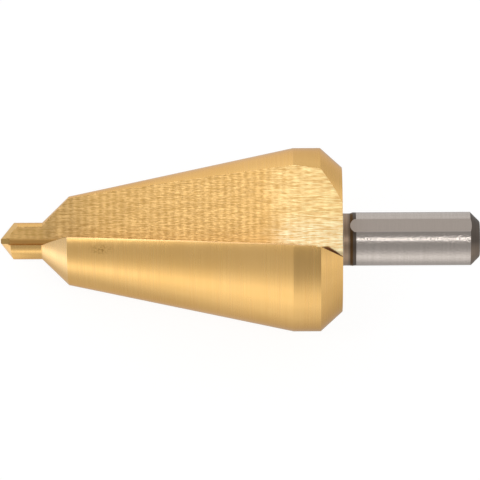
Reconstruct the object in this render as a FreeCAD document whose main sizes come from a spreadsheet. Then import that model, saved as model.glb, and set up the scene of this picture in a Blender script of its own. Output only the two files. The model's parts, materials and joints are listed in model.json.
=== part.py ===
import FreeCAD, Part
import Sketcher
import math
import os

# A cone drill for sheet metal and tube: a turned blank with a pilot, a lead cone, a long main cone and a
# round shank, then two straight flutes, a split point and three shank flats. X is the drill's axis, with
# the point at x = 0. One flute opens towards +Z, and the cutting edge below it leads when the drill
# turns clockwise, seen from the shank.

SIZES = [
    # turned blank, with lengths from the point
    ("overall_length", 79.5, "point to shank end"),
    ("pilot_radius", 3.12, "pilot that starts the hole"),
    ("lead_start", 6.9, "pilot ends and lead cone starts"),
    ("lead_end", 11.35, "lead cone ends and main cone starts"),
    ("small_radius", 7.45, "small end of the main cone"),
    ("cone_end", 48.6, "large end of the main cone"),
    ("large_radius", 15.3, "largest cutting radius"),
    ("margin_end", 53.1, "end of the short cylinder behind the cone"),
    ("rear_face", 56.7, "back of the head"),
    ("rear_radius", 12.05, "back of the head inside its chamfer"),
    ("neck_radius", 4.33, "neck between head and shank"),
    ("neck_end", 58.0, "neck starts to widen"),
    ("shank_start", 58.45, "shank at its full size"),
    ("shank_radius", 4.5, "shank for a three-jaw chuck"),
    ("end_chamfer", 1.6, "chamfer at the shank end"),
    ("end_round", 0.2, "rounding inside that chamfer"),
    ("neck_fillet", 0.3, "fillet between head and neck"),
    # relief of the lands, which turn about axes of their own beside the drill's axis
    ("relief_offset", 0.1, "distance between a land's axis and the drill's"),
    ("relief_angle", 50.0, "direction of that distance, from +Z towards +Y"),
    ("seam_angle", 15.0, "middle of the flute's mouth, from +Z towards +Y"),
    ("land_turn", 200.0, "turn of one land, past a half so that the two overlap"),
    # flute section, the same along the whole flute
    ("bend_x", 9.33, "where the flute's root starts to rise"),
    ("root_y", -1.15, "corner of the flute's two walls, sideways"),
    ("root_z", 1.87, "corner of the flute's two walls, above the axis"),
    ("root_round", 1.1, "rounding of that corner"),
    ("hook_angle", 19.8, "lean of the cutting face from the radius"),
    ("flute_rise", 0.18, "rise of the root for each mm along the axis"),
    ("flute_skew", -0.047, "sideways run of the root for each mm along the axis"),
    # point
    ("flank_angle", 52.3, "half angle of the cone that a flank is part of"),
    ("flank_tilt", 5.2, "tilt of that cone towards the lip"),
    ("chisel_cut", 0.27, "height that the chisel edge takes off the sharp point"),
    ("gash_web", 0.12, "half thickness of the web between the gashes"),
    ("gash_angle", 50.2, "slope of a gash's floor from the axis"),
    ("gash_side", 0.45, "side wall of a gash, off the axis"),
    ("gash_width", 0.85, "width of a gash"),
    ("heel_offset", 1.0, "where a heel facet crosses the plane of the chisel edge, off the axis"),
    ("heel_angle", 43.9, "slope of a heel facet from the axis, seen into the flute"),
    ("heel_lean", 0.783, "run of a heel facet along the axis for each mm out of the flute"),
    # shank flats
    ("flat_depth", 0.18, "depth of a flat below the shank's surface"),
    ("flat_start", 58.0, "tip of a flat's rounded end"),
    ("flat_round", 1.45, "radius of that end"),
    ("flat_angle", 32.0, "direction of the first flat, from +Z towards +Y"),
    # rest, where the search for it starts
    ("rest_roll", 28.0, "roll about the drill's axis, flute down"),
    ("rest_pitch", 11.0, "lift of the shank end"),
]

# corners that the sketches use, worked out in the sheet from the sizes above
CORNERS = [
    ("on_axis", "=0 * overall_length", "the axis, and the plane of the chisel edge"),
    ("reach", "=1.5 * large_radius", "reach of a cutting sketch past the blank"),
    ("bar_start", "=rear_face - shank_radius", "inner end of the bar, inside the head"),
    ("shank_end", "=overall_length - end_chamfer", "where the end chamfer starts"),
    ("end_radius", "=shank_radius - end_chamfer", "end face"),
    ("root_reach", "=root_round / tan((90 - hook_angle) / 2 * 1deg)", "corner to its rounding's ends"),
    ("floor_y", "=root_y + root_reach", "floor side end of the rounding"),
    ("face_y", "=root_y + root_reach * sin(hook_angle * 1deg)", "cutting face end of the rounding"),
    ("face_z", "=root_z + root_reach * cos(hook_angle * 1deg)", "the same, above the axis"),
    ("round_z", "=root_z + root_round", "centre of the rounding, above the axis"),
    ("far_y", "=root_y + reach * tan(hook_angle * 1deg)", "cutting face, past the blank"),
    ("far_z", "=root_z + reach", "the same, above the axis"),
    ("apex_x", "=-chisel_cut", "sharp point of the flank cones"),
    ("skirt_x", "=apex_x + reach * cos((flank_angle + flank_tilt) * 1deg)", "flank, past the blank"),
    ("skirt_y", "=reach * sin((flank_angle + flank_tilt) * 1deg)", "the same, off the axis"),
    ("ahead_x", "=apex_x - reach * cos(flank_tilt * 1deg)", "flank cone's axis, ahead of the point"),
    ("ahead_y", "=-reach * sin(flank_tilt * 1deg)", "the same, off the axis"),
    ("gash_x", "=2 * pilot_radius * cos(gash_angle * 1deg)", "gash floor's end, along the axis"),
    ("gash_ahead", "=-gash_x", "the floor's other end, ahead of the point"),
    ("gash_high", "=gash_web + 2 * pilot_radius * sin(gash_angle * 1deg)", "the first end, off the axis"),
    ("gash_low", "=2 * gash_web - gash_high", "the other end, off the axis"),
    ("heel_x", "=2 * pilot_radius", "heel facet's end, along the axis"),
    ("heel_ahead", "=-heel_x", "its other end, ahead of the point"),
    ("heel_high", "=heel_offset + heel_x * tan(heel_angle * 1deg)", "the first end, off the axis"),
    ("heel_low", "=2 * heel_offset - heel_high", "the other end, off the axis"),
    ("flat_height", "=shank_radius - flat_depth", "flat, off the axis"),
    ("flat_centre", "=flat_start + flat_round", "centre of the flat's rounded end"),
    ("flat_edge", "=-flat_round", "the slot's other side"),
    ("past_end", "=overall_length + flat_round", "past the shank end"),
]

FLUTES = 2
FLATS = 3
SAME_PLACE = 0.001
FACET_ERROR = 0.02
FIRST_STEP = 2.0
LAST_STEP = 0.001

doc = FreeCAD.newDocument("ConeDrill")
sheet = doc.addObject("Spreadsheet::Sheet", "Sizes")
for row, (alias, content, note) in enumerate(SIZES + CORNERS, start=1):
    sheet.set(f"A{row}", note)
    sheet.set(f"B{row}", str(content))
    sheet.setAlias(f"B{row}", alias)
doc.recompute()

body = doc.addObject("PartDesign::Body", "ConeDrill")
body.Label = "cone_drill"


def size(alias):
    return float(sheet.get(alias))


def origin_feature(role):
    return next(item for item in body.Origin.OriginFeatures if item.Role == role)


def new_sketch(name, role, **offset):
    """A sketch on one of the body's planes, shifted and turned about the drill's axis by the sheet."""
    sketch = body.newObject("Sketcher::SketchObject", name)
    sketch.AttachmentSupport = (origin_feature(role), "")
    sketch.MapMode = "FlatFace"
    about_x = FreeCAD.Rotation(FreeCAD.Vector(1, 0, 0), 1)
    sketch.AttachmentOffset = FreeCAD.Placement(FreeCAD.Vector(), about_x)
    turn = offset.pop("turn", "0")
    sketch.setExpression("AttachmentOffset.Rotation.Angle", turn)
    for direction, formula in offset.items():
        sketch.setExpression(f"AttachmentOffset.Base.{direction}", formula)
    return sketch


def place(sketch, edge, end, corner):
    """Hold a point of an edge at the distances across and up that the aliases give."""
    for kind, alias in zip(("DistanceX", "DistanceY"), corner):
        number = sketch.addConstraint(Sketcher.Constraint(kind, -1, 1, edge, end, size(alias)))
        sketch.renameConstraint(number, f"{kind}_{edge}_{end}")
        sketch.setExpression(f"Constraints.{kind}_{edge}_{end}", f"Sizes.{alias}")


def outline(sketch, corners, rounding=None):
    """A closed outline through corners. A rounding (centre across, centre up, radius) closes it."""
    spots = [FreeCAD.Vector(size(across), size(up), 0) for across, up in corners]
    edges = [
        sketch.addGeometry(Part.LineSegment(start, end), False)
        for start, end in zip(spots, spots[1:])
    ]
    if rounding:
        centre = FreeCAD.Vector(size(rounding[0]), size(rounding[1]), 0)
        circle = Part.Circle(centre, FreeCAD.Vector(0, 0, 1), size(rounding[2]))
        closing = Part.ArcOfCircle(circle, circle.parameter(spots[-1]), circle.parameter(spots[0]))
    else:
        closing = Part.LineSegment(spots[-1], spots[0])
    edges.append(sketch.addGeometry(closing, False))
    for here, following in zip(edges, edges[1:] + edges[:1]):
        sketch.addConstraint(Sketcher.Constraint("Coincident", here, 2, following, 1))
    for edge, corner in zip(edges[:-1], corners):
        place(sketch, edge, 1, corner)
    place(sketch, edges[-2], 2, corners[-1])
    if rounding:
        place(sketch, edges[-1], 3, rounding[:1])
    return edges


def feature(kind, name, sketch, bindings, **settings):
    """A feature made from a sketch, which has to change the solid."""
    before = body.Tip.Shape.Volume if body.Tip else 0
    made = body.newObject(f"PartDesign::{kind}", name)
    made.Profile = sketch
    for key, value in settings.items():
        setattr(made, key, value)
    for path, formula in bindings.items():
        made.setExpression(path, formula)
    doc.recompute()
    change = made.Shape.Volume - before
    adds = kind == "Revolution"
    if (change > 0) != adds:
        raise RuntimeError(f"{name} changes the volume by {change:.3f} cubic mm")
    return made


def around_axis(name, originals, count):
    """Copies of features around the drill's axis."""
    pattern = body.newObject("PartDesign::PolarPattern", name)
    pattern.Originals = originals
    pattern.Axis = (origin_feature("X_Axis"), [""])
    pattern.Angle = 360
    pattern.Occurrences = round(count)
    body.Tip = pattern
    doc.recompute()


# Head: one land turned about its own axis, then its twin half a turn away
land_outline = new_sketch(
    "LandOutline",
    "XY_Plane",
    turn="180 - Sizes.seam_angle",
    y="Sizes.relief_offset * sin(Sizes.relief_angle * 1deg)",
    z="Sizes.relief_offset * cos(Sizes.relief_angle * 1deg)",
)
outline(
    land_outline,
    [
        ("on_axis", "on_axis"),
        ("on_axis", "pilot_radius"),
        ("lead_start", "pilot_radius"),
        ("lead_end", "small_radius"),
        ("cone_end", "large_radius"),
        ("margin_end", "large_radius"),
        ("rear_face", "rear_radius"),
        ("rear_face", "on_axis"),
    ],
)
land = feature(
    "Revolution",
    "Land",
    land_outline,
    {"Angle": "Sizes.land_turn"},
    ReferenceAxis=(land_outline, ["H_Axis"]),
    Midplane=True,
)
around_axis("LandPair", [land], FLUTES)

# Neck and shank
bar_outline = new_sketch("BarOutline", "XY_Plane")
outline(
    bar_outline,
    [
        ("bar_start", "on_axis"),
        ("bar_start", "neck_radius"),
        ("neck_end", "neck_radius"),
        ("shank_start", "shank_radius"),
        ("shank_end", "shank_radius"),
        ("overall_length", "end_radius"),
        ("overall_length", "on_axis"),
    ],
)
feature("Revolution", "Bar", bar_outline, {}, ReferenceAxis=(bar_outline, ["H_Axis"]))

# Flank of one lip: half a turn about an axis that leans towards the lip, so the flank falls away behind it
flank_outline = new_sketch("FlankOutline", "XY_Plane", turn="90 - Sizes.seam_angle")
corners = [("apex_x", "on_axis"), ("skirt_x", "skirt_y"), ("ahead_x", "ahead_y")]
edges = outline(flank_outline, corners)
lean = Part.LineSegment(
    FreeCAD.Vector(size("ahead_x"), size("ahead_y"), 0), FreeCAD.Vector(size("apex_x"), 0, 0)
)
lean_line = flank_outline.addGeometry(lean, True)
flank_outline.addConstraint(Sketcher.Constraint("Coincident", lean_line, 1, edges[2], 1))
flank_outline.addConstraint(Sketcher.Constraint("Coincident", lean_line, 2, edges[0], 1))
flank = feature(
    "Groove",
    "Flank",
    flank_outline,
    {},
    ReferenceAxis=(flank_outline, ["Axis0"]),
    Angle=180,
)

# Flute: one section swept both ways from the bend, along the pilot and up the cone
flute_section = new_sketch("FluteSection", "YZ_Plane", z="Sizes.bend_x")
outline(
    flute_section,
    [
        ("floor_y", "root_z"),
        ("reach", "root_z"),
        ("reach", "far_z"),
        ("far_y", "far_z"),
        ("face_y", "face_z"),
    ],
    rounding=("floor_y", "round_z", "root_round"),
)
pilot_flute = feature("Pocket", "PilotFlute", flute_section, {}, Type="ThroughAll")
main_flute = feature(
    "Pocket",
    "MainFlute",
    flute_section,
    {"Direction.y": "Sizes.flute_skew", "Direction.z": "Sizes.flute_rise"},
    UseCustomVector=True,
    Direction=FreeCAD.Vector(1, 0, 0),
    Type="ThroughAll",
)

# Gash that thins the web at the point, beside the chisel edge
gash_outline = new_sketch("GashOutline", "XZ_Plane", z="Sizes.gash_side")
outline(
    gash_outline,
    [("gash_ahead", "gash_low"), ("gash_x", "gash_high"), ("gash_ahead", "gash_high")],
)
gash = feature("Pocket", "Gash", gash_outline, {"Length": "Sizes.gash_width"})

# Heel facet that clears the back of the other lip's flank, where it meets the flute
heel_outline = new_sketch("HeelOutline", "XY_Plane")
outline(
    heel_outline,
    [("heel_ahead", "heel_low"), ("heel_x", "heel_high"), ("heel_ahead", "heel_high")],
)
heel_facet = feature(
    "Pocket",
    "HeelFacet",
    heel_outline,
    {"Direction.x": "Sizes.heel_lean"},
    UseCustomVector=True,
    Direction=FreeCAD.Vector(0, 0, 1),
    Type="ThroughAll",
)
around_axis("SecondLip", [flank, pilot_flute, main_flute, gash, heel_facet], FLUTES)

# Flats that stop the shank from slipping in its chuck
flat_outline = new_sketch(
    "FlatOutline",
    "XY_Plane",
    turn="-Sizes.flat_angle",
    y="Sizes.flat_height * sin(Sizes.flat_angle * 1deg)",
    z="Sizes.flat_height * cos(Sizes.flat_angle * 1deg)",
)
outline(
    flat_outline,
    [
        ("flat_centre", "flat_edge"),
        ("past_end", "flat_edge"),
        ("past_end", "flat_round"),
        ("flat_centre", "flat_round"),
    ],
    rounding=("flat_centre", "on_axis", "flat_round"),
)
flat = feature("Pocket", "Flat", flat_outline, {}, Type="ThroughAll", Reversed=True)
around_axis("Flats", [flat], FLATS)


def round_edge(name, x, radius, alias):
    """A fillet on the full circle at one place along the drill's axis."""
    base = body.Tip
    names = [
        f"Edge{number}"
        for number, edge in enumerate(base.Shape.Edges, start=1)
        if isinstance(edge.Curve, Part.Circle)
        and abs(edge.Curve.Center.x - size(x)) < SAME_PLACE
        and abs(edge.Curve.Radius - size(radius)) < SAME_PLACE
    ]
    fillet = body.newObject("PartDesign::Fillet", name)
    fillet.Base = (base, names)
    fillet.setExpression("Radius", f"Sizes.{alias}")
    doc.recompute()


round_edge("NeckFillet", "rear_face", "neck_radius", "neck_fillet")
round_edge("EndRound", "overall_length", "end_radius", "end_round")


# The drill lies on its lower flute, on a lip edge of one land and the heel of the other. It comes to rest
# where its centre of gravity is lowest.
def resting_turn(roll, pitch):
    """Roll about the drill's axis, then lift the shank end."""
    lift = FreeCAD.Rotation(FreeCAD.Vector(0, 1, 0), -pitch)
    return lift.multiply(FreeCAD.Rotation(FreeCAD.Vector(1, 0, 0), roll))


def height_at(points, centre, roll, pitch):
    """Height of the centre of gravity above the lowest point."""
    upward = resting_turn(roll, pitch).inverted().multVec(FreeCAD.Vector(0, 0, 1))
    return upward.dot(centre) - min(upward.dot(point) for point in points)


def settle(solid):
    """Roll and pitch at rest, in degrees: steps around the best pose so far, halved when none is lower."""
    points = solid.tessellate(FACET_ERROR)[0]
    centre = solid.CenterOfGravity
    pose = (size("rest_roll"), size("rest_pitch"))
    height = height_at(points, centre, *pose)
    step = FIRST_STEP
    while step > LAST_STEP:
        around = [
            (pose[0] + step * math.cos(turn * math.pi / 8), pose[1] + step * math.sin(turn * math.pi / 8))
            for turn in range(16)
        ]
        heights = [height_at(points, centre, *trial) for trial in around]
        if min(heights) < height:
            height = min(heights)
            pose = around[heights.index(height)]
        else:
            step /= 2
    return pose


turn = resting_turn(*settle(body.Tip.Shape))
body.Placement = FreeCAD.Placement(FreeCAD.Vector(), turn)
box = body.Shape.optimalBoundingBox()
centre = box.Center
body.Placement = FreeCAD.Placement(FreeCAD.Vector(-centre.x, -centre.y, -box.ZMin), turn)
doc.recompute()

for item in doc.Objects:
    if "Invalid" in item.State or "Error" in item.State:
        raise RuntimeError(f"{item.Name} failed: {item.State}")
if body.Shape.isNull() or not body.Shape.isValid() or len(body.Shape.Solids) != 1:
    raise RuntimeError("the drill isn't one valid solid")

os.makedirs("parts", exist_ok=True)
body.Shape.exportStep(f"parts/{body.Label}.step")
print(f"{body.Label}: {body.Shape.Volume:.1f} cubic mm, placed by {body.Placement}")
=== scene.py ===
import json
import math

import bpy
from mathutils import Matrix, Vector, noise


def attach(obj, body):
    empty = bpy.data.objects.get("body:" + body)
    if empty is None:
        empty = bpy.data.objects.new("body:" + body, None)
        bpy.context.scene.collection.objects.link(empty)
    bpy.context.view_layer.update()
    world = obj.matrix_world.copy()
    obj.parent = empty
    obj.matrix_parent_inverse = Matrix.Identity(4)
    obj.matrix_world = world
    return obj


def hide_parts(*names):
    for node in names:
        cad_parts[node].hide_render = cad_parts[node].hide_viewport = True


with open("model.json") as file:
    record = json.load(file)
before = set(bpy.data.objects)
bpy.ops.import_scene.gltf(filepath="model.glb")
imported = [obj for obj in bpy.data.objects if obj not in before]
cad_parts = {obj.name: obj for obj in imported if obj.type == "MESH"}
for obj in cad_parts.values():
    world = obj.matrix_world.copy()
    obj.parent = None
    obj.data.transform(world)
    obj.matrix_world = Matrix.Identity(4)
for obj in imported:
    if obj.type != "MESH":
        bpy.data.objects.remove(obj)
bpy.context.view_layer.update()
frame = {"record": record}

# The bar: the whole drill is turned, milled and ground from one piece of high speed steel. It is modelled
# here in millimetres along X, with its point at x = 0 and one flute towards +Z. At the end it is laid down as
# the frame has it, on a lip of one land and the heel of the other.
MM = 0.001
mount_from_point = 68.175 * MM
rest_roll = math.radians(26.3161)
shank_mount = next(mount for mount in frame["record"]["mounts"] if mount["name"] == "shank")
axis_direction = Vector(shank_mount["axis"]).normalized()
point_place = Vector(shank_mount["pos_m"]) - axis_direction * mount_from_point
rest_pitch = math.atan2(axis_direction.z, axis_direction.x)
drill_turn = Matrix.Rotation(-rest_pitch, 4, "Y") @ Matrix.Rotation(rest_roll, 4, "X")
laid_down = Matrix.Translation(point_place) @ drill_turn @ Matrix.Scale(MM, 4)

# The blank, turned from the bar: pilot, lead cone, main cone, short cylinder, rear chamfer, neck and shank.
# Each step of it is the last ring drawn out along the axis and resized. The neck meets the rear face in a
# fillet.
round_sides = 256
pilot_radius = 3.12
pilot_end = 6.9
lead_radius = 7.45
lead_end = 11.35
large_radius = 15.3
cone_end = 48.6
cylinder_end = 53.1
rear_radius = 12.05
rear_face = 56.7
neck_radius = 4.33
neck_end = 58.0
neck_fillet = 0.3
beside_fillet = 0.1
shank_radius = 4.5
shank_start = 58.45
ground_start = 59.0
drill_length = 79.5
end_chamfer = 1.6
edge_break = 0.08
edge_break_in = 0.1
fillet_turns = [math.radians(6 * number) for number in range(16)]
blank_steps = [
    (pilot_end, pilot_radius),
    (lead_end, lead_radius),
    (cone_end, large_radius),
    (cylinder_end, large_radius),
    (rear_face, rear_radius),
    (rear_face, neck_radius + neck_fillet + beside_fillet),
]
blank_steps += [
    (
        rear_face + neck_fillet * (1 - math.cos(turn)),
        neck_radius + neck_fillet * (1 - math.sin(turn)),
    )
    for turn in fillet_turns
]
blank_steps += [
    (neck_end, neck_radius),
    (shank_start, shank_radius),
    (ground_start, shank_radius),
    (drill_length - end_chamfer, shank_radius),
    (drill_length - edge_break, shank_radius - end_chamfer + edge_break),
    (drill_length, shank_radius - end_chamfer - edge_break_in),
]

bpy.ops.object.select_all(action="DESELECT")
bpy.ops.mesh.primitive_circle_add(
    vertices=round_sides, radius=pilot_radius, fill_type="NGON", rotation=(0, math.pi / 2, 0)
)
drill = bpy.context.object
drill.name = "drill"
bpy.ops.object.transform_apply(rotation=True)
bpy.ops.object.mode_set(mode="EDIT")
bpy.ops.mesh.select_all(action="SELECT")
reached, radius = 0.0, pilot_radius
for next_place, next_radius in blank_steps:
    bpy.ops.mesh.extrude_region_move(TRANSFORM_OT_translate={"value": (next_place - reached, 0, 0)})
    grow = next_radius / radius
    bpy.ops.transform.resize(value=(1, grow, grow), center_override=(next_place, 0, 0))
    reached, radius = next_place, next_radius
bpy.ops.mesh.select_all(action="SELECT")
bpy.ops.mesh.remove_doubles(threshold=0.001)
bpy.ops.mesh.normals_make_consistent(inside=False)
bpy.ops.object.mode_set(mode="OBJECT")


def metal(name):
    """Make an empty metal material, and give it with its node tree and its surface shader."""
    made = bpy.data.materials.new(name)
    made.use_nodes = True
    surface = made.node_tree.nodes["Principled BSDF"]
    surface.inputs["Metallic"].default_value = 1
    return made, made.node_tree, surface


def node(tree, kind, values, **settings):
    """Add a shader node, with a value or a link for each input that is given, and give it back."""
    made = tree.nodes.new(kind)
    for key, value in settings.items():
        setattr(made, key, value)
    for key, value in values.items():
        if isinstance(value, bpy.types.NodeSocket):
            tree.links.new(value, made.inputs[key])
        else:
            made.inputs[key].default_value = value
    return made


def drill_place(tree):
    """Give the place on the drill in millimetres, as a vector and as its parts along X, Y and Z."""
    coordinates = node(tree, "ShaderNodeTexCoord", {})
    own = node(
        tree,
        "ShaderNodeMapping",
        {
            "Vector": coordinates.outputs["Object"],
            "Location": point_place,
            "Rotation": drill_turn.to_euler(),
            "Scale": (MM, MM, MM),
        },
        vector_type="TEXTURE",
    )
    parts = node(tree, "ShaderNodeSeparateXYZ", {"Vector": own.outputs["Vector"]})
    return own.outputs["Vector"], parts.outputs["X"], parts.outputs["Y"], parts.outputs["Z"]


def streaks(tree, place, stretch, detail=3.0, roughness=0.6, shift=0.0):
    """Noise drawn out along some of the drill's directions: stretch is its fineness along each, per mm."""
    drawn = node(
        tree,
        "ShaderNodeVectorMath",
        {0: place, 1: stretch, 2: (shift, shift, shift)},
        operation="MULTIPLY_ADD",
    )
    made = node(
        tree,
        "ShaderNodeTexNoise",
        {"Vector": drawn.outputs[0], "Scale": 1.0, "Detail": detail, "Roughness": roughness},
    )
    return made.outputs["Fac"]


def ramp(tree, value, low, high, start, end):
    """Map a range of values to another, held at both ends."""
    made = node(
        tree,
        "ShaderNodeMapRange",
        {"Value": value, "From Min": low, "From Max": high, "To Min": start, "To Max": end},
    )
    return made.outputs["Result"]


def tint(tree, share, first, second):
    """Mix two colours."""
    return node(tree, "ShaderNodeMix", {"Factor": share, 6: first, 7: second}, data_type="RGBA").outputs[2]


# Bare high speed steel on the shank, ground round and left grey, with the grinding wheel's fine rings, a
# slight unevenness that breaks up a highlight, and a few small pits.
steel_low, steel_high = (0.63, 0.565, 0.51, 1), (0.71, 0.635, 0.58, 1)
pit_brown = (0.25, 0.19, 0.15, 1)
shank_steel, tree, surface = metal("shank_steel")
place = drill_place(tree)[0]
rings = streaks(tree, place, (9.0, 0.08, 0.08))
peel = streaks(tree, place, (3.0, 3.0, 3.0), detail=2.0, shift=5.0)
pits = streaks(tree, place, (3.4, 3.4, 3.4), detail=3.0, roughness=0.7, shift=11.0)
shade = tint(tree, ramp(tree, rings, 0.3, 0.7, 0.0, 1.0), steel_low, steel_high)
shade = tint(tree, ramp(tree, pits, 0.67, 0.72, 0.0, 0.8), shade, pit_brown)
tree.links.new(shade, surface.inputs["Base Color"])
surface.inputs["Roughness"].default_value = 0.19
bump = node(tree, "ShaderNodeBump", {"Height": peel, "Strength": 0.8, "Distance": 0.00004})
tree.links.new(bump.outputs["Normal"], surface.inputs["Normal"])


def sum_of(tree, operation, first, second=0.0, third=0.0):
    """Add a math node and give its result."""
    return node(tree, "ShaderNodeMath", {0: first, 1: second, 2: third}, operation=operation).outputs[0]


# The neck, the start of the shank and the end chamfer aren't ground after hardening, so they keep the brown
# of its heat. It is pale next to the rear face and dark from the end of the neck on, where next to the neck
# the dark is a painted reflection of the shaded rear face. The chamfer's lower half is painted lighter, a
# painted highlight.
pale_low, pale_high = (0.38, 0.285, 0.21, 1), (0.54, 0.42, 0.32, 1)
dark_low, dark_high = (0.105, 0.085, 0.07, 1), (0.16, 0.13, 0.108, 1)
brown_steel, tree, surface = metal("brown_steel")
place, along, across, _ = drill_place(tree)
rings = streaks(tree, place, (5.0, 0.2, 0.2))
pale = tint(tree, rings, pale_low, pale_high)
dark = tint(tree, rings, dark_low, dark_high)
# Painted reflection: next to the neck, the dark brown stands in for the shaded rear face.
shade = tint(tree, ramp(tree, along, 57.5, 58.1, 0.0, 1.0), pale, dark)
# Painted highlight: the chamfer's lower half is turned back to the pale brown.
low_side = ramp(tree, across, -0.5, -2.5, 0.0, 0.6)
chamfer_highlight = sum_of(tree, "MULTIPLY", low_side, ramp(tree, along, 70.0, 75.0, 0.0, 1.0))
tree.links.new(tint(tree, chamfer_highlight, shade, pale), surface.inputs["Base Color"])
surface.inputs["Roughness"].default_value = 0.4


def curve(tree, value, points):
    """Map a value through points joined by straight lines. No level may be below 0."""
    low, high = points[0][0], points[-1][0]
    stops = node(tree, "ShaderNodeValToRGB", {"Fac": ramp(tree, value, low, high, 0.0, 1.0)})
    top = max(level for place, level in points)
    for number, (place, level) in enumerate(points):
        stop = stops.color_ramp.elements[number] if number < 2 else stops.color_ramp.elements.new(1.0)
        stop.position = (place - low) / (high - low)
        stop.color = (level / top,) * 3 + (1,)
    return sum_of(tree, "MULTIPLY", stops.outputs["Color"], top)


def spread_along(tree, surface, way, amount):
    """Stretch a surface's highlights along one of the drill's directions."""
    turned = drill_turn.to_3x3() @ way
    grain = node(tree, "ShaderNodeCombineXYZ", {0: turned.x, 1: turned.y, 2: turned.z})
    tree.links.new(grain.outputs[0], surface.inputs["Tangent"])
    surface.inputs["Anisotropic"].default_value = amount


# Titanium nitride on the ground cones: a smooth gold coat over the grinding wheel's rings, which spread a
# highlight along the drill. It is painted paler on the steep lead cone and along a narrow band behind each
# cutting edge, both painted highlights, and has a few scuffs near the front.
gold_low, gold_high = (0.92, 0.55, 0.18, 1), (0.965, 0.595, 0.205, 1)
gold_cloud = (0.90, 0.52, 0.145, 1)
# Painted highlight: the pale gold on the lead cone.
lead_highlight_gold = (1.0, 0.70, 0.35, 1)
# Painted highlight: the pale gold along a narrow band behind each cutting edge.
edge_highlight_gold = (0.96, 0.59, 0.25, 1)
gold_scuffed = (0.50, 0.27, 0.05, 1)
gold_grazing = (0.98, 0.76, 0.48, 1)
edge_line_low = 1.0
edge_line = [(11.3, 1.58), (30.0, 0.98), (47.0, 0.37), (50.0, 0.17), (52.5, 0.0), (53.1, 0.0)]
scuff_place = (17.2, -1.4, 8.4)
scuff_stretch = (0.4, 1.1, 1.0)
land_gold, tree, surface = metal("land_gold")
place, along, across, above = drill_place(tree)
rings = streaks(tree, place, (7.0, 0.06, 0.06))
broad_rings = streaks(tree, place, (1.1, 0.03, 0.03), detail=2.0, shift=7.0)
cloud = streaks(tree, place, (0.09, 0.12, 0.12), detail=3.0, shift=3.0)
shade = tint(tree, ramp(tree, rings, 0.35, 0.65, 0.0, 1.0), gold_low, gold_high)
shade = tint(tree, ramp(tree, cloud, 0.4, 0.7, 0.0, 0.5), shade, gold_cloud)
# Painted highlight over the lead cone.
lead_highlight = ramp(tree, along, 11.3, 11.4, 0.7, 0.0)
lead_highlight = sum_of(tree, "MULTIPLY", lead_highlight, ramp(tree, along, 6.8, 7.2, 0.0, 1.0))
shade = tint(tree, lead_highlight, shade, lead_highlight_gold)
front = sum_of(tree, "SIGN", above)
height = sum_of(tree, "MULTIPLY_ADD", across, front, edge_line_low)
behind_edge = sum_of(tree, "SUBTRACT", curve(tree, along, edge_line), height)
# Painted highlight behind each cutting edge.
edge_highlight = ramp(tree, behind_edge, 0.10, 0.28, 1.0, 0.0)
edge_highlight = sum_of(tree, "MULTIPLY", edge_highlight, ramp(tree, behind_edge, -2.0, -1.9, 0.0, 1.0))
edge_highlight = sum_of(tree, "MULTIPLY", edge_highlight, ramp(tree, along, 11.3, 11.4, 0.0, 1.0))
edge_highlight = sum_of(tree, "MULTIPLY", edge_highlight, ramp(tree, along, 50.0, 52.5, 1.0, 0.0))
shade = tint(tree, edge_highlight, shade, edge_highlight_gold)
from_scuff = node(tree, "ShaderNodeVectorMath", {0: place, 1: scuff_place}, operation="SUBTRACT").outputs[0]
from_scuff = node(
    tree, "ShaderNodeVectorMath", {0: from_scuff, 1: scuff_stretch}, operation="MULTIPLY"
).outputs[0]
from_scuff = node(tree, "ShaderNodeVectorMath", {0: from_scuff}, operation="LENGTH").outputs["Value"]
scratches = streaks(tree, place, (2.6, 4.5, 4.5), detail=3.0, roughness=0.7, shift=13.0)
scratches = ramp(tree, scratches, 0.49, 0.58, 0.0, 1.0)
scuffed = sum_of(tree, "MULTIPLY", ramp(tree, from_scuff, 0.3, 1.1, 1.0, 0.0), scratches)
tree.links.new(tint(tree, scuffed, shade, gold_scuffed), surface.inputs["Base Color"])
tree.links.new(ramp(tree, broad_rings, 0.3, 0.7, 0.22, 0.30), surface.inputs["Roughness"])
surface.inputs["Specular Tint"].default_value = gold_grazing
surface.inputs["Coat Weight"].default_value = 0.45
surface.inputs["Coat Roughness"].default_value = 0.2
spread_along(tree, surface, Vector((1, 0, 0)), 0.5)
bump = node(tree, "ShaderNodeBump", {"Height": rings, "Strength": 0.1, "Distance": 0.00001})
tree.links.new(bump.outputs["Normal"], surface.inputs["Normal"])

for paint in (land_gold, brown_steel, shank_steel):
    drill.data.materials.append(paint)
for face in drill.data.polygons:
    in_chamfer = face.center.x > drill_length - end_chamfer
    if face.center.x > neck_end:
        face.material_index = 1 if in_chamfer or face.center.x < ground_start else 2
    elif face.center.x > rear_face + 0.01:
        face.material_index = 1

# The lands are relieved: each is ground about an axis of its own, a tenth of a millimetre off the drill's, so
# that it falls away behind its cutting edge. The step between the two goes with the metal of the flutes.
relief = 0.1
relief_way = math.radians(50)
seam_way = math.radians(15)
seam_normal = Vector((0, math.cos(seam_way), -math.sin(seam_way)))
relief_shift = Vector((0, math.sin(relief_way), math.cos(relief_way))) * relief
beyond_neck = 10
for vertex in drill.data.vertices:
    off_axis = math.hypot(vertex.co.y, vertex.co.z)
    if vertex.co.x < rear_face - 0.001 or vertex.co.x < neck_end and off_axis > beyond_neck:
        below_seam = vertex.co.dot(seam_normal) < 0
        vertex.co += relief_shift if below_seam else -relief_shift


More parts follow.
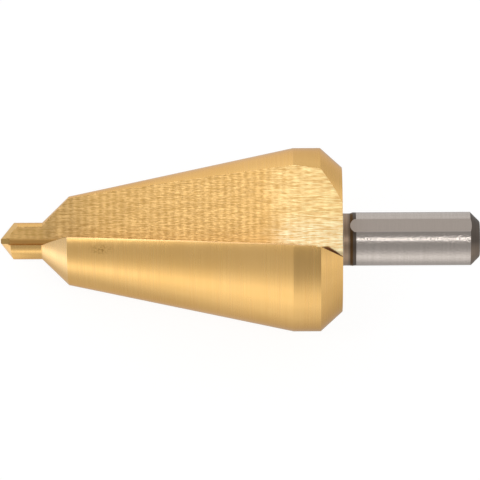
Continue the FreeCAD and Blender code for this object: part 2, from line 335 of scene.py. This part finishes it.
def choose(shape, chosen, kind="FACE"):
    """Open a shape for editing with the faces, edges or vertices selected that a test picks."""
    mesh = shape.data
    groups = {"FACE": mesh.polygons, "EDGE": mesh.edges, "VERT": mesh.vertices}
    for name, group in groups.items():
        picks = [chosen(item) for item in group] if name == kind else [False] * len(group)
        group.foreach_set("select", picks)
    bpy.ops.object.select_all(action="DESELECT")
    bpy.context.view_layer.objects.active = shape
    shape.select_set(True)
    bpy.ops.object.mode_set(mode="EDIT")
    bpy.ops.mesh.select_mode(type=kind)


def take_out(solid, cutter, turns=(0.0,)):
    """Cut a shape out of a solid, at its place turned about X by each angle, and throw the shape away."""
    bpy.ops.object.select_all(action="DESELECT")
    bpy.context.view_layer.objects.active = solid
    turned = 0.0
    for turn in turns:
        cutter.data.transform(Matrix.Rotation(turn - turned, 4, "X"))
        turned = turn
        cut = solid.modifiers.new("cut", "BOOLEAN")
        cut.operation = "DIFFERENCE"
        cut.solver = "EXACT"
        cut.object = cutter
        cut.material_mode = "TRANSFER"
        bpy.ops.object.modifier_apply(modifier=cut.name)
    bpy.data.objects.remove(cutter)


# Each flank of the point is ground last, with a finer wheel, as part of a cone that leans towards the lip, so
# that it falls away behind it. What the wheel takes off is a block, halved at the flute's mouth, with that
# cone hollowed out of it.
flank_angle = math.radians(52.3)
flank_tilt = math.radians(5.2)
chisel_cut = 0.27
block_size = 14
block_reach = 4
cone_height = 9
seam_overlap = 0.01
both_sides = (0.0, math.pi)
point_gold, tree, surface = metal("point_gold")
wheel_lines = streaks(tree, drill_place(tree)[0], (3.0, 3.0, 0.5))
shade = tint(tree, wheel_lines, (0.85, 0.53, 0.19, 1), (0.98, 0.63, 0.25, 1))
tree.links.new(shade, surface.inputs["Base Color"])
surface.inputs["Roughness"].default_value = 0.34

apex = Vector((-chisel_cut, 0, 0))
towards_lip = Vector((0, math.sin(seam_way), math.cos(seam_way)))
cone_axis = Vector((1, 0, 0)) * math.cos(flank_tilt) + towards_lip * math.sin(flank_tilt)
bpy.ops.object.select_all(action="DESELECT")
bpy.ops.mesh.primitive_cone_add(
    vertices=round_sides,
    radius1=cone_height * math.tan(flank_angle),
    radius2=0,
    depth=cone_height,
    location=apex + cone_axis * cone_height / 2,
    rotation=(-cone_axis).to_track_quat("Z", "Y").to_euler(),
)
ground_cone = bpy.context.object
ground_cone.data.materials.append(point_gold)
bpy.ops.object.transform_apply(location=True, rotation=True)
bpy.ops.object.select_all(action="DESELECT")
bpy.ops.mesh.primitive_cube_add(size=block_size, location=(block_reach - block_size / 2, 0, 0))
flank = bpy.context.object
flank.data.materials.append(point_gold)
bpy.ops.object.transform_apply(location=True)
choose(flank, lambda face: True)
bpy.ops.mesh.bisect(
    plane_co=seam_normal * seam_overlap, plane_no=seam_normal, use_fill=True, clear_outer=True
)
bpy.ops.object.mode_set(mode="OBJECT")
take_out(flank, ground_cone)
take_out(drill, flank, both_sides)

# The coat over the milled flutes is broken up by the cutter's marks: feed lines along the flute, cut into
# short dashes by its chatter, which run through unbroken at the rear. Light and shade are painted on it: it
# is painted darker near the point and lighter towards the rear, with painted glints low on the wall at the
# rear. Painted shade darkens the corner along the pilot, and a painted shadow, darkest of all, fills the
# narrow gap that the rear chamfer opens behind the cutting edge.
broken_low, broken_high = (0.65, 0.37, 0.095, 1), (0.88, 0.55, 0.20, 1)
# Painted light: the unbroken marks at the rear get lighter colours, and the near-white ones are painted
# glints.
unbroken_lit_low, unbroken_lit_high = (0.74, 0.43, 0.13, 1), (1.0, 0.76, 0.36, 1)
painted_glint_low, painted_glint_high = (0.82, 0.52, 0.18, 1), (1.0, 0.90, 0.62, 1)
# Painted shade: the brown that darkens the corner along the pilot.
corner_shade_brown = (0.66, 0.35, 0.09, 1)
# Painted shadow: the near black that fills the rear gap behind the cutting edge.
gap_shadow_brown = (0.15, 0.055, 0.014, 1)
chatter_pitch = 1.22
flute_rise = 0.18
chatter_share = [(0.0, 0.5), (14.0, 0.7), (40.0, 0.75), (50.0, 0.25), (60.0, 0.2)]
# Painted light: levels that scale the wall's colour along the drill, darker near the point, lighter at the
# rear.
painted_light_levels = [(0.0, 0.92), (6.5, 0.88), (8.5, 0.70), (11.5, 0.76), (16.0, 0.96)]
painted_light_levels += [(34.0, 1.0), (46.0, 1.1), (60.0, 1.1)]
wall_line_low = 3.0
root_line = [(0.0, 3.41), (9.3, 3.4), (60.0, 1.03)]
gap_line = [(53.0, 1.76), (54.0, 1.33), (55.0, 0.85), (56.0, 0.39), (56.7, 0.07)]
gap_width = [(52.9, 0.0), (53.3, 0.2), (54.4, 0.7), (55.6, 0.5), (56.7, 0.12)]
flute_gold, tree, surface = metal("flute_gold")
place, along, across, above = drill_place(tree)
long_lines = streaks(tree, place, (0.12, 7.0, 2.5), detail=2.0, roughness=0.6)
dashes = streaks(tree, place, (1.3, 10.0, 3.0), detail=1.0, roughness=0.5, shift=9.0)
sway = streaks(tree, place, (0.3, 0.25, 0.25), detail=1.0, shift=4.0)
beat = sum_of(tree, "MULTIPLY", along, math.tau / chatter_pitch)
beat = sum_of(tree, "MULTIPLY_ADD", sway, 1.5, beat)
beat = ramp(tree, sum_of(tree, "SINE", beat), -1.0, 1.0, -0.07, 0.07)
dashed = sum_of(tree, "MULTIPLY_ADD", dashes, 0.9, -0.2)
dashed = sum_of(tree, "MULTIPLY_ADD", long_lines, 0.5, dashed)
dashed = sum_of(tree, "ADD", beat, dashed)
chattered = curve(tree, along, chatter_share)
mark = node(tree, "ShaderNodeMix", {"Factor": chattered, 2: long_lines, 3: dashed}).outputs[0]
marked = ramp(tree, mark, 0.36, 0.64, 0.0, 1.0)
broken = tint(tree, marked, broken_low, broken_high)
unbroken_lit = tint(tree, marked, unbroken_lit_low, unbroken_lit_high)
painted_glint = tint(tree, marked, painted_glint_low, painted_glint_high)
# Painted glints: near-white colours low on the wall at the rear.
unbroken_lit = tint(tree, ramp(tree, across, 4.5, 0.5, 0.0, 1.0), unbroken_lit, painted_glint)
far_back = ramp(tree, sum_of(tree, "MULTIPLY_ADD", sway, 8.0, along), 48.0, 53.0, 0.0, 1.0)
shade = tint(tree, far_back, broken, unbroken_lit)
level = curve(tree, along, painted_light_levels)
grey_level = node(tree, "ShaderNodeCombineColor", {0: level, 1: level, 2: level}).outputs[0]
shade = node(
    tree,
    "ShaderNodeMix",
    {"Factor": 1.0, 6: shade, 7: grey_level},
    data_type="RGBA",
    blend_type="MULTIPLY",
).outputs[2]
front = sum_of(tree, "SIGN", above)
height = sum_of(tree, "MULTIPLY_ADD", across, front, wall_line_low)
over_root = sum_of(tree, "SUBTRACT", height, curve(tree, along, root_line))
# Painted shade in the corner along the pilot.
corner = ramp(tree, over_root, -0.35, 0.05, 1.0, 0.0)
corner = sum_of(tree, "MULTIPLY", corner, ramp(tree, along, 12.0, 14.0, 1.0, 0.0))
shade = tint(tree, corner, shade, corner_shade_brown)
# Painted shadow in the rear gap.
over_gap = sum_of(tree, "SUBTRACT", height, curve(tree, along, gap_line))
over_gap = sum_of(tree, "DIVIDE", over_gap, curve(tree, along, gap_width))
in_gap = ramp(tree, over_gap, 0.8, 1.2, 1.0, 0.0)
in_gap = sum_of(tree, "MULTIPLY", in_gap, ramp(tree, along, 52.9, 53.8, 0.0, 1.0))
over_floor = sum_of(tree, "MULTIPLY", above, front)
over_floor = sum_of(tree, "MULTIPLY_ADD", along, -flute_rise, over_floor)
in_gap = sum_of(tree, "MULTIPLY", in_gap, ramp(tree, over_floor, 0.8, 1.8, 1.0, 0.0))
tree.links.new(tint(tree, in_gap, shade, gap_shadow_brown), surface.inputs["Base Color"])
tree.links.new(ramp(tree, mark, 0.3, 0.7, 0.42, 0.32), surface.inputs["Roughness"])
surface.inputs["Specular Tint"].default_value = gold_grazing
surface.inputs["Coat Weight"].default_value = 0.4
surface.inputs["Coat Roughness"].default_value = 0.3
spread_along(tree, surface, Vector((0, 1, 0)), 0.6)
bump = node(tree, "ShaderNodeBump", {"Height": mark, "Strength": 0.6, "Distance": 0.00005})
tree.links.new(bump.outputs["Normal"], surface.inputs["Normal"])


def on_line(shape, edge, axis, place):
    """Tell whether both ends of an edge lie at one place along an axis, which is 0, 1 or 2."""
    ends = [shape.data.vertices[number].co[axis] for number in edge.vertices]
    return max(abs(end - place) for end in ends) < 0.001


# Each flute is milled with one section: a floor, a cutting face that leans back over it, and a rounded
# corner. It runs level along the pilot, then rises and drifts sideways up the cone. The cutter's feed leaves
# fine lines along it and its chatter leaves waves across them, so this shape carries both.
bend_place = 9.33
bend_softness = 1.6
root_y = -1.15
root_z = 1.87
root_round = 1.1
hook = math.radians(19.8)
flute_skew = -0.047
flute_ahead = -3
flute_past = 62
floor_width = 17
floor_columns = 210
floor_rows = 190
corner_steps = 20
face_height = 17
face_rows = 56
feed_depth = 0.004
chatter_depth = 0.011
chatter_end = 49
root_turn = math.pi / 2 + hook
root_reach = root_round * math.tan(root_turn / 2)
floor_near = root_y + root_reach
floor_far = floor_near + floor_width

bpy.ops.object.select_all(action="DESELECT")
bpy.ops.mesh.primitive_grid_add(
    x_subdivisions=floor_columns,
    y_subdivisions=floor_rows,
    size=1,
    location=((flute_ahead + flute_past) / 2, (floor_near + floor_far) / 2, root_z),
)
flute = bpy.context.object
flute.data.materials.append(flute_gold)
flute.scale = (flute_past - flute_ahead, floor_width, 1)
bpy.ops.object.transform_apply(location=True, scale=True)
choose(flute, lambda edge: on_line(flute, edge, 1, floor_near), "EDGE")
bpy.ops.mesh.spin(
    steps=corner_steps, angle=root_turn, center=(0, floor_near, root_z + root_round), axis=(1, 0, 0)
)
lift = face_height / face_rows
for row in range(face_rows):
    bpy.ops.mesh.extrude_edges_move(
        TRANSFORM_OT_translate={"value": (0, lift * math.sin(hook), lift * math.cos(hook))}
    )
bpy.ops.object.mode_set(mode="OBJECT")
flute_top = max(vertex.co.z for vertex in flute.data.vertices)
choose(flute, lambda edge: on_line(flute, edge, 1, floor_far), "EDGE")
bpy.ops.mesh.extrude_edges_move(TRANSFORM_OT_translate={"value": (0, 0, flute_top - root_z)})
bpy.ops.object.mode_set(mode="OBJECT")
choose(flute, lambda edge: on_line(flute, edge, 2, flute_top), "EDGE")
bpy.ops.mesh.bridge_edge_loops()
bpy.ops.object.mode_set(mode="OBJECT")
for end_place in (flute_ahead, flute_past):
    choose(flute, lambda edge: on_line(flute, edge, 0, end_place), "EDGE")
    bpy.ops.mesh.edge_face_add()
    bpy.ops.mesh.select_all(action="SELECT")
    bpy.ops.mesh.normals_make_consistent(inside=False)
    bpy.ops.object.mode_set(mode="OBJECT")

for vertex in flute.data.vertices:
    here = vertex.co
    chatter_here = min(1, max(0.2, (here.x - 8) / 12), max(0.15, (chatter_end - here.x) / 4))
    sway = noise.noise(Vector((here.x * 0.25, here.y * 0.3, 5)))
    wave = math.sin(math.tau * (here.x / chatter_pitch + 0.25 * sway))
    dash = noise.noise(Vector((here.x * 0.9, here.y * 4.5, here.z * 4.5)))
    feed = noise.noise(Vector((here.x * 0.1, here.y * 3.0, here.z * 3.0 + 9)))
    bite = chatter_depth * chatter_here * (0.1 * wave + dash * (0.6 + 0.3 * wave)) + 2 * feed_depth * feed
    reach = here.x - bend_place
    reach = (reach + math.hypot(reach, bend_softness)) / 2
    here.y += flute_skew * reach
    here.z += flute_rise * reach + bite
take_out(drill, flute, both_sides)

# A gash beside each lip thins the web at the point, which leaves a short chisel edge. It is cut with a
# coarse, narrow wheel, which leaves it dull, and it is coloured a darker gold than the flanks.
gash_web = 0.12
gash_angle = math.radians(50.2)
gash_side = 0.45
gash_width = 0.85
gash_reach = 7
gash_gold, tree, surface = metal("gash_gold")
wheel_lines = streaks(tree, drill_place(tree)[0], (3.0, 3.0, 0.5))
shade = tint(tree, wheel_lines, (0.40, 0.25, 0.07, 1), (0.56, 0.35, 0.11, 1))
tree.links.new(shade, surface.inputs["Base Color"])
surface.inputs["Roughness"].default_value = 0.5

bpy.ops.object.select_all(action="DESELECT")
bpy.ops.mesh.primitive_cube_add(
    size=1,
    location=(-gash_reach / 2, gash_width / 2 - gash_side, 0),
    scale=(gash_reach, gash_width, gash_reach),
)
gash = bpy.context.object
gash.data.materials.append(gash_gold)
bpy.ops.object.transform_apply(location=True, scale=True)
gash_turn = Matrix.Rotation(math.pi / 2 - gash_angle, 4, "Y")
gash.data.transform(Matrix.Translation((0, 0, gash_web)) @ gash_turn)
take_out(drill, gash, both_sides)

# A flat facet clears the heel of each flank, where it meets the flute. It is ground with the same fine wheel
# as the flank and has the same coat.
heel_offset = 1.0
heel_angle = math.radians(43.9)
heel_lean = 0.783
heel_block = 12
heel_normal = Vector((1, -1 / math.tan(heel_angle), -heel_lean)).normalized()
heel_turn = Vector((1, 0, 0)).rotation_difference(heel_normal).to_matrix().to_4x4()
bpy.ops.object.select_all(action="DESELECT")
bpy.ops.mesh.primitive_cube_add(size=heel_block, location=(-heel_block / 2, 0, 0))
heel = bpy.context.object
heel.data.materials.append(point_gold)
bpy.ops.object.transform_apply(location=True)
heel.data.transform(Matrix.Translation((0, heel_offset, 0)) @ heel_turn)
choose(heel, lambda face: True)
bpy.ops.mesh.bisect(plane_co=(0, 0, 0), plane_no=(0, 0, 1), use_fill=True, clear_inner=True)
bpy.ops.object.mode_set(mode="OBJECT")
take_out(drill, heel, both_sides)

# Three flats are ground along the shank, where the chuck's jaws hold it. Each runs out towards the neck in a
# rounded end, and has a duller face than the round of the shank.
flat_depth = 0.18
flat_start = 58.0
flat_round = 1.45
flat_way = math.radians(32)
flat_past_end = 4
flat_height = 2
flat_count = 3
flat_steel, tree, surface = metal("flat_steel")
wheel_lines = streaks(tree, drill_place(tree)[0], (6.0, 0.3, 0.3))
shade = tint(tree, wheel_lines, (0.65, 0.565, 0.50, 1), (0.73, 0.635, 0.565, 1))
tree.links.new(shade, surface.inputs["Base Color"])
surface.inputs["Roughness"].default_value = 0.35

flat_length = drill_length - flat_start + flat_past_end
flat_low = shank_radius - flat_depth
bpy.ops.object.select_all(action="DESELECT")
bpy.ops.mesh.primitive_cube_add(
    size=1,
    location=(flat_start + flat_length / 2, 0, flat_low + flat_height / 2),
    scale=(flat_length, 2 * flat_round, flat_height),
)
flat = bpy.context.object
flat.data.materials.append(flat_steel)
bpy.ops.object.transform_apply(location=True, scale=True)
choose(
    flat,
    lambda edge: on_line(flat, edge, 0, flat_start)
    and not on_line(flat, edge, 2, flat_low)
    and not on_line(flat, edge, 2, flat_low + flat_height),
    "EDGE",
)
bpy.ops.mesh.bevel(offset=flat_round * 0.999, segments=16, affect="EDGES")
bpy.ops.object.mode_set(mode="OBJECT")
take_out(drill, flat, [math.tau * number / flat_count - flat_way for number in range(flat_count)])

# The finished drill: one coated piece of steel. Its round faces are shaded smooth, and every ground or milled
# edge stays sharp.
bpy.ops.object.select_all(action="DESELECT")
drill.select_set(True)
bpy.context.view_layer.objects.active = drill
bpy.ops.object.shade_smooth_by_angle(angle=math.radians(8))

drill.data.transform(laid_down)
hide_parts("cone_drill")
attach(drill, "root")

# A plain table top, white to the camera, with the drill's soft shadow on it. In the metal it shows as white
# card with light and shade painted on: a painted shadow close under the drill, painted light in front of it
# and towards the point, and a painted pool of light before the lead cone. Places on it are in metres from
# the drill's middle.
floor_size = 4
# Painted light and shade, seen only in the metal: the card's brightness ahead of and beside the drill.
floor_ahead = [(-0.3, 0.75), (-0.1, 0.95), (-0.05, 1.0), (-0.027, 0.78), (-0.02, 0.61), (-0.015, 0.51)]
floor_ahead += [(0.0, 0.48), (0.012, 0.53), (0.05, 0.70)]
floor_aside = [(-0.09, 1.3), (-0.04, 1.3), (-0.02, 1.2), (0.0, 1.15)]
floor_aside += [(0.015, 0.93), (0.03, 1.0), (0.06, 0.86), (0.1, 0.86)]
# Painted pool of light before the lead cone.
patch_place = (-0.047, -0.009, 0)
patch_inner, patch_outer, patch_strength = 0.003, 0.014, 0.8
bpy.ops.object.select_all(action="DESELECT")
bpy.ops.mesh.primitive_plane_add(size=floor_size)
floor = bpy.context.object
floor.name = "floor"
floor_paint = bpy.data.materials.new("floor_paint")
floor_paint.use_nodes = True
floor.data.materials.append(floor_paint)
tree = floor_paint.node_tree
tree.nodes.clear()
rays = node(tree, "ShaderNodeLightPath", {})
seen = sum_of(tree, "MAXIMUM", rays.outputs["Is Camera Ray"], rays.outputs["Is Transmission Ray"])
spot = node(tree, "ShaderNodeTexCoord", {}).outputs["Object"]
parts = node(tree, "ShaderNodeSeparateXYZ", {"Vector": spot})
ahead = curve(tree, parts.outputs["Y"], floor_ahead)
aside = curve(tree, parts.outputs["X"], floor_aside)
from_patch = node(tree, "ShaderNodeVectorMath", {0: spot, 1: patch_place}, operation="DISTANCE")
from_patch = from_patch.outputs["Value"]
patch = ramp(tree, from_patch, patch_inner, patch_outer, patch_strength, 0.0)
glow = sum_of(tree, "MULTIPLY_ADD", ahead, aside, patch)
plain = node(tree, "ShaderNodeBsdfDiffuse", {"Color": (0.85, 0.85, 0.85, 1)})
thin = node(tree, "ShaderNodeBsdfDiffuse", {"Color": (0.2, 0.2, 0.2, 1)})
white = node(tree, "ShaderNodeEmission", {"Color": (1, 1, 1, 1), "Strength": 0.9})
white = node(tree, "ShaderNodeAddShader", {0: thin.outputs[0], 1: white.outputs[0]})
card = node(tree, "ShaderNodeEmission", {"Color": (1, 1, 1, 1), "Strength": glow})
mixed = node(tree, "ShaderNodeMixShader", {0: seen, 1: plain.outputs[0], 2: white.outputs[0]})
mixed = node(
    tree,
    "ShaderNodeMixShader",
    {0: rays.outputs["Is Glossy Ray"], 1: mixed.outputs[0], 2: card.outputs[0]},
)
node(tree, "ShaderNodeOutputMaterial", {"Surface": mixed.outputs[0]})

# The camera looks down on the open flute, square to it, from an arm's length off. It stands over the rear
# half of the cone and its picture takes in the whole drill, so the view is a little off centre.
camera_distance = 700
camera_over = 47.0
picture_middle = 39.75
picture_width = 79.73
camera_roll = math.radians(0.28)
camera_place = laid_down @ Vector((camera_over, 0, camera_distance))
aim = laid_down @ Vector((picture_middle, 0, 0))
back = (camera_place - aim).normalized()
up = drill_turn.to_3x3() @ Vector((math.sin(camera_roll), math.cos(camera_roll), 0))
side = up.cross(back).normalized()
up = back.cross(side)
camera_data = bpy.data.cameras.new("camera")
camera_data.sensor_width = 36
camera_data.lens = camera_data.sensor_width * (camera_place - aim).length / (picture_width * MM)
camera = bpy.data.objects.new("camera", camera_data)
camera.matrix_world = Matrix.Translation(camera_place) @ Matrix((side, up, back)).transposed().to_4x4()
bpy.context.collection.objects.link(camera)
bpy.context.scene.camera = camera

# The room is a light tent: its brightness goes by the way round the drill's axis, in degrees from the
# camera's side upwards, and by the lean towards the point. A slit where the camera looks in is the bright
# line along the shank, and the stretch beside it is darker.
turn_levels = [(-180, 0.6), (-90, 0.95), (-84, 0.96), (-74, 0.96), (-63, 0.84), (-54, 0.64), (-44, 0.50)]
turn_levels += [(-28, 0.43), (0, 0.40), (25, 0.36), (64, 0.53), (108, 0.86), (144, 0.86), (180, 0.6)]
lean_levels = [(-1.0, 1.1), (-0.3, 0.88), (0.0, 0.82), (0.2, 1.1), (0.4, 1.35), (1.0, 1.5)]
slit_turns = [(-180, 0.0), (-6, 0.0), (-2, 1.0), (2, 1.0), (6, 0.0), (180, 0.0)]
slit_leans = [(-1.0, 0.0), (-0.3, 0.6), (0.0, 1.0), (0.06, 0.0), (1.0, 0.0)]
slit_strength = 3.3
world = bpy.data.worlds.new("room")
bpy.context.scene.world = world
world.use_nodes = True
tree = world.node_tree
tree.nodes.clear()
coordinates = node(tree, "ShaderNodeTexCoord", {})
own = node(
    tree,
    "ShaderNodeMapping",
    {"Vector": coordinates.outputs["Generated"], "Rotation": drill_turn.to_euler()},
    vector_type="TEXTURE",
)
parts = node(tree, "ShaderNodeSeparateXYZ", {"Vector": own.outputs["Vector"]})
turned = sum_of(tree, "ARCTAN2", parts.outputs["Y"], parts.outputs["Z"])
turned = sum_of(tree, "DEGREES", turned)
leaning = sum_of(tree, "MULTIPLY", parts.outputs["X"], -1.0)
level = sum_of(tree, "MULTIPLY", curve(tree, turned, turn_levels), curve(tree, leaning, lean_levels))
slit = sum_of(tree, "MULTIPLY", curve(tree, turned, slit_turns), curve(tree, leaning, slit_leans))
level = sum_of(tree, "MULTIPLY_ADD", slit, slit_strength, level)
rays = node(tree, "ShaderNodeLightPath", {})
light = node(tree, "ShaderNodeBackground", {"Color": (1, 1, 1, 1), "Strength": level})
backdrop = node(tree, "ShaderNodeBackground", {"Color": (1, 1, 1, 1), "Strength": 1.0})
mixed = node(
    tree,
    "ShaderNodeMixShader",
    {0: rays.outputs["Is Camera Ray"], 1: light.outputs[0], 2: backdrop.outputs[0]},
)
node(tree, "ShaderNodeOutputWorld", {"Surface": mixed.outputs[0]})

# One small softbox hangs over the drill, by the slit, and leans towards the point. It gives the metal a
# little sparkle and is placed by its turn round the drill's axis and its distance in millimetres.
lamp_turn = math.radians(4)
lamp_lean = math.radians(21)
lamp_distance = 300
lamp_width = 0.05
lamp_height = 0.04
lamp_power = 0.05
round_way = Vector((0, math.sin(lamp_turn), math.cos(lamp_turn)))
lamp_way = Vector((-1, 0, 0)) * math.sin(lamp_lean) + round_way * math.cos(lamp_lean)
lamp_place = laid_down @ (Vector((picture_middle, 0, 0)) + lamp_way * lamp_distance)
away = (drill_turn.to_3x3() @ lamp_way).normalized()
lamp_data = bpy.data.lights.new("key", "AREA")
lamp_data.shape = "RECTANGLE"
lamp_data.size = lamp_width
lamp_data.size_y = lamp_height
lamp_data.energy = lamp_power
lamp = bpy.data.objects.new("key", lamp_data)
lamp.matrix_world = Matrix.Translation(lamp_place) @ away.to_track_quat("Z", "Y").to_matrix().to_4x4()
lamp.visible_camera = False
bpy.context.collection.objects.link(lamp)

bpy.context.scene.view_settings.view_transform = "Standard"
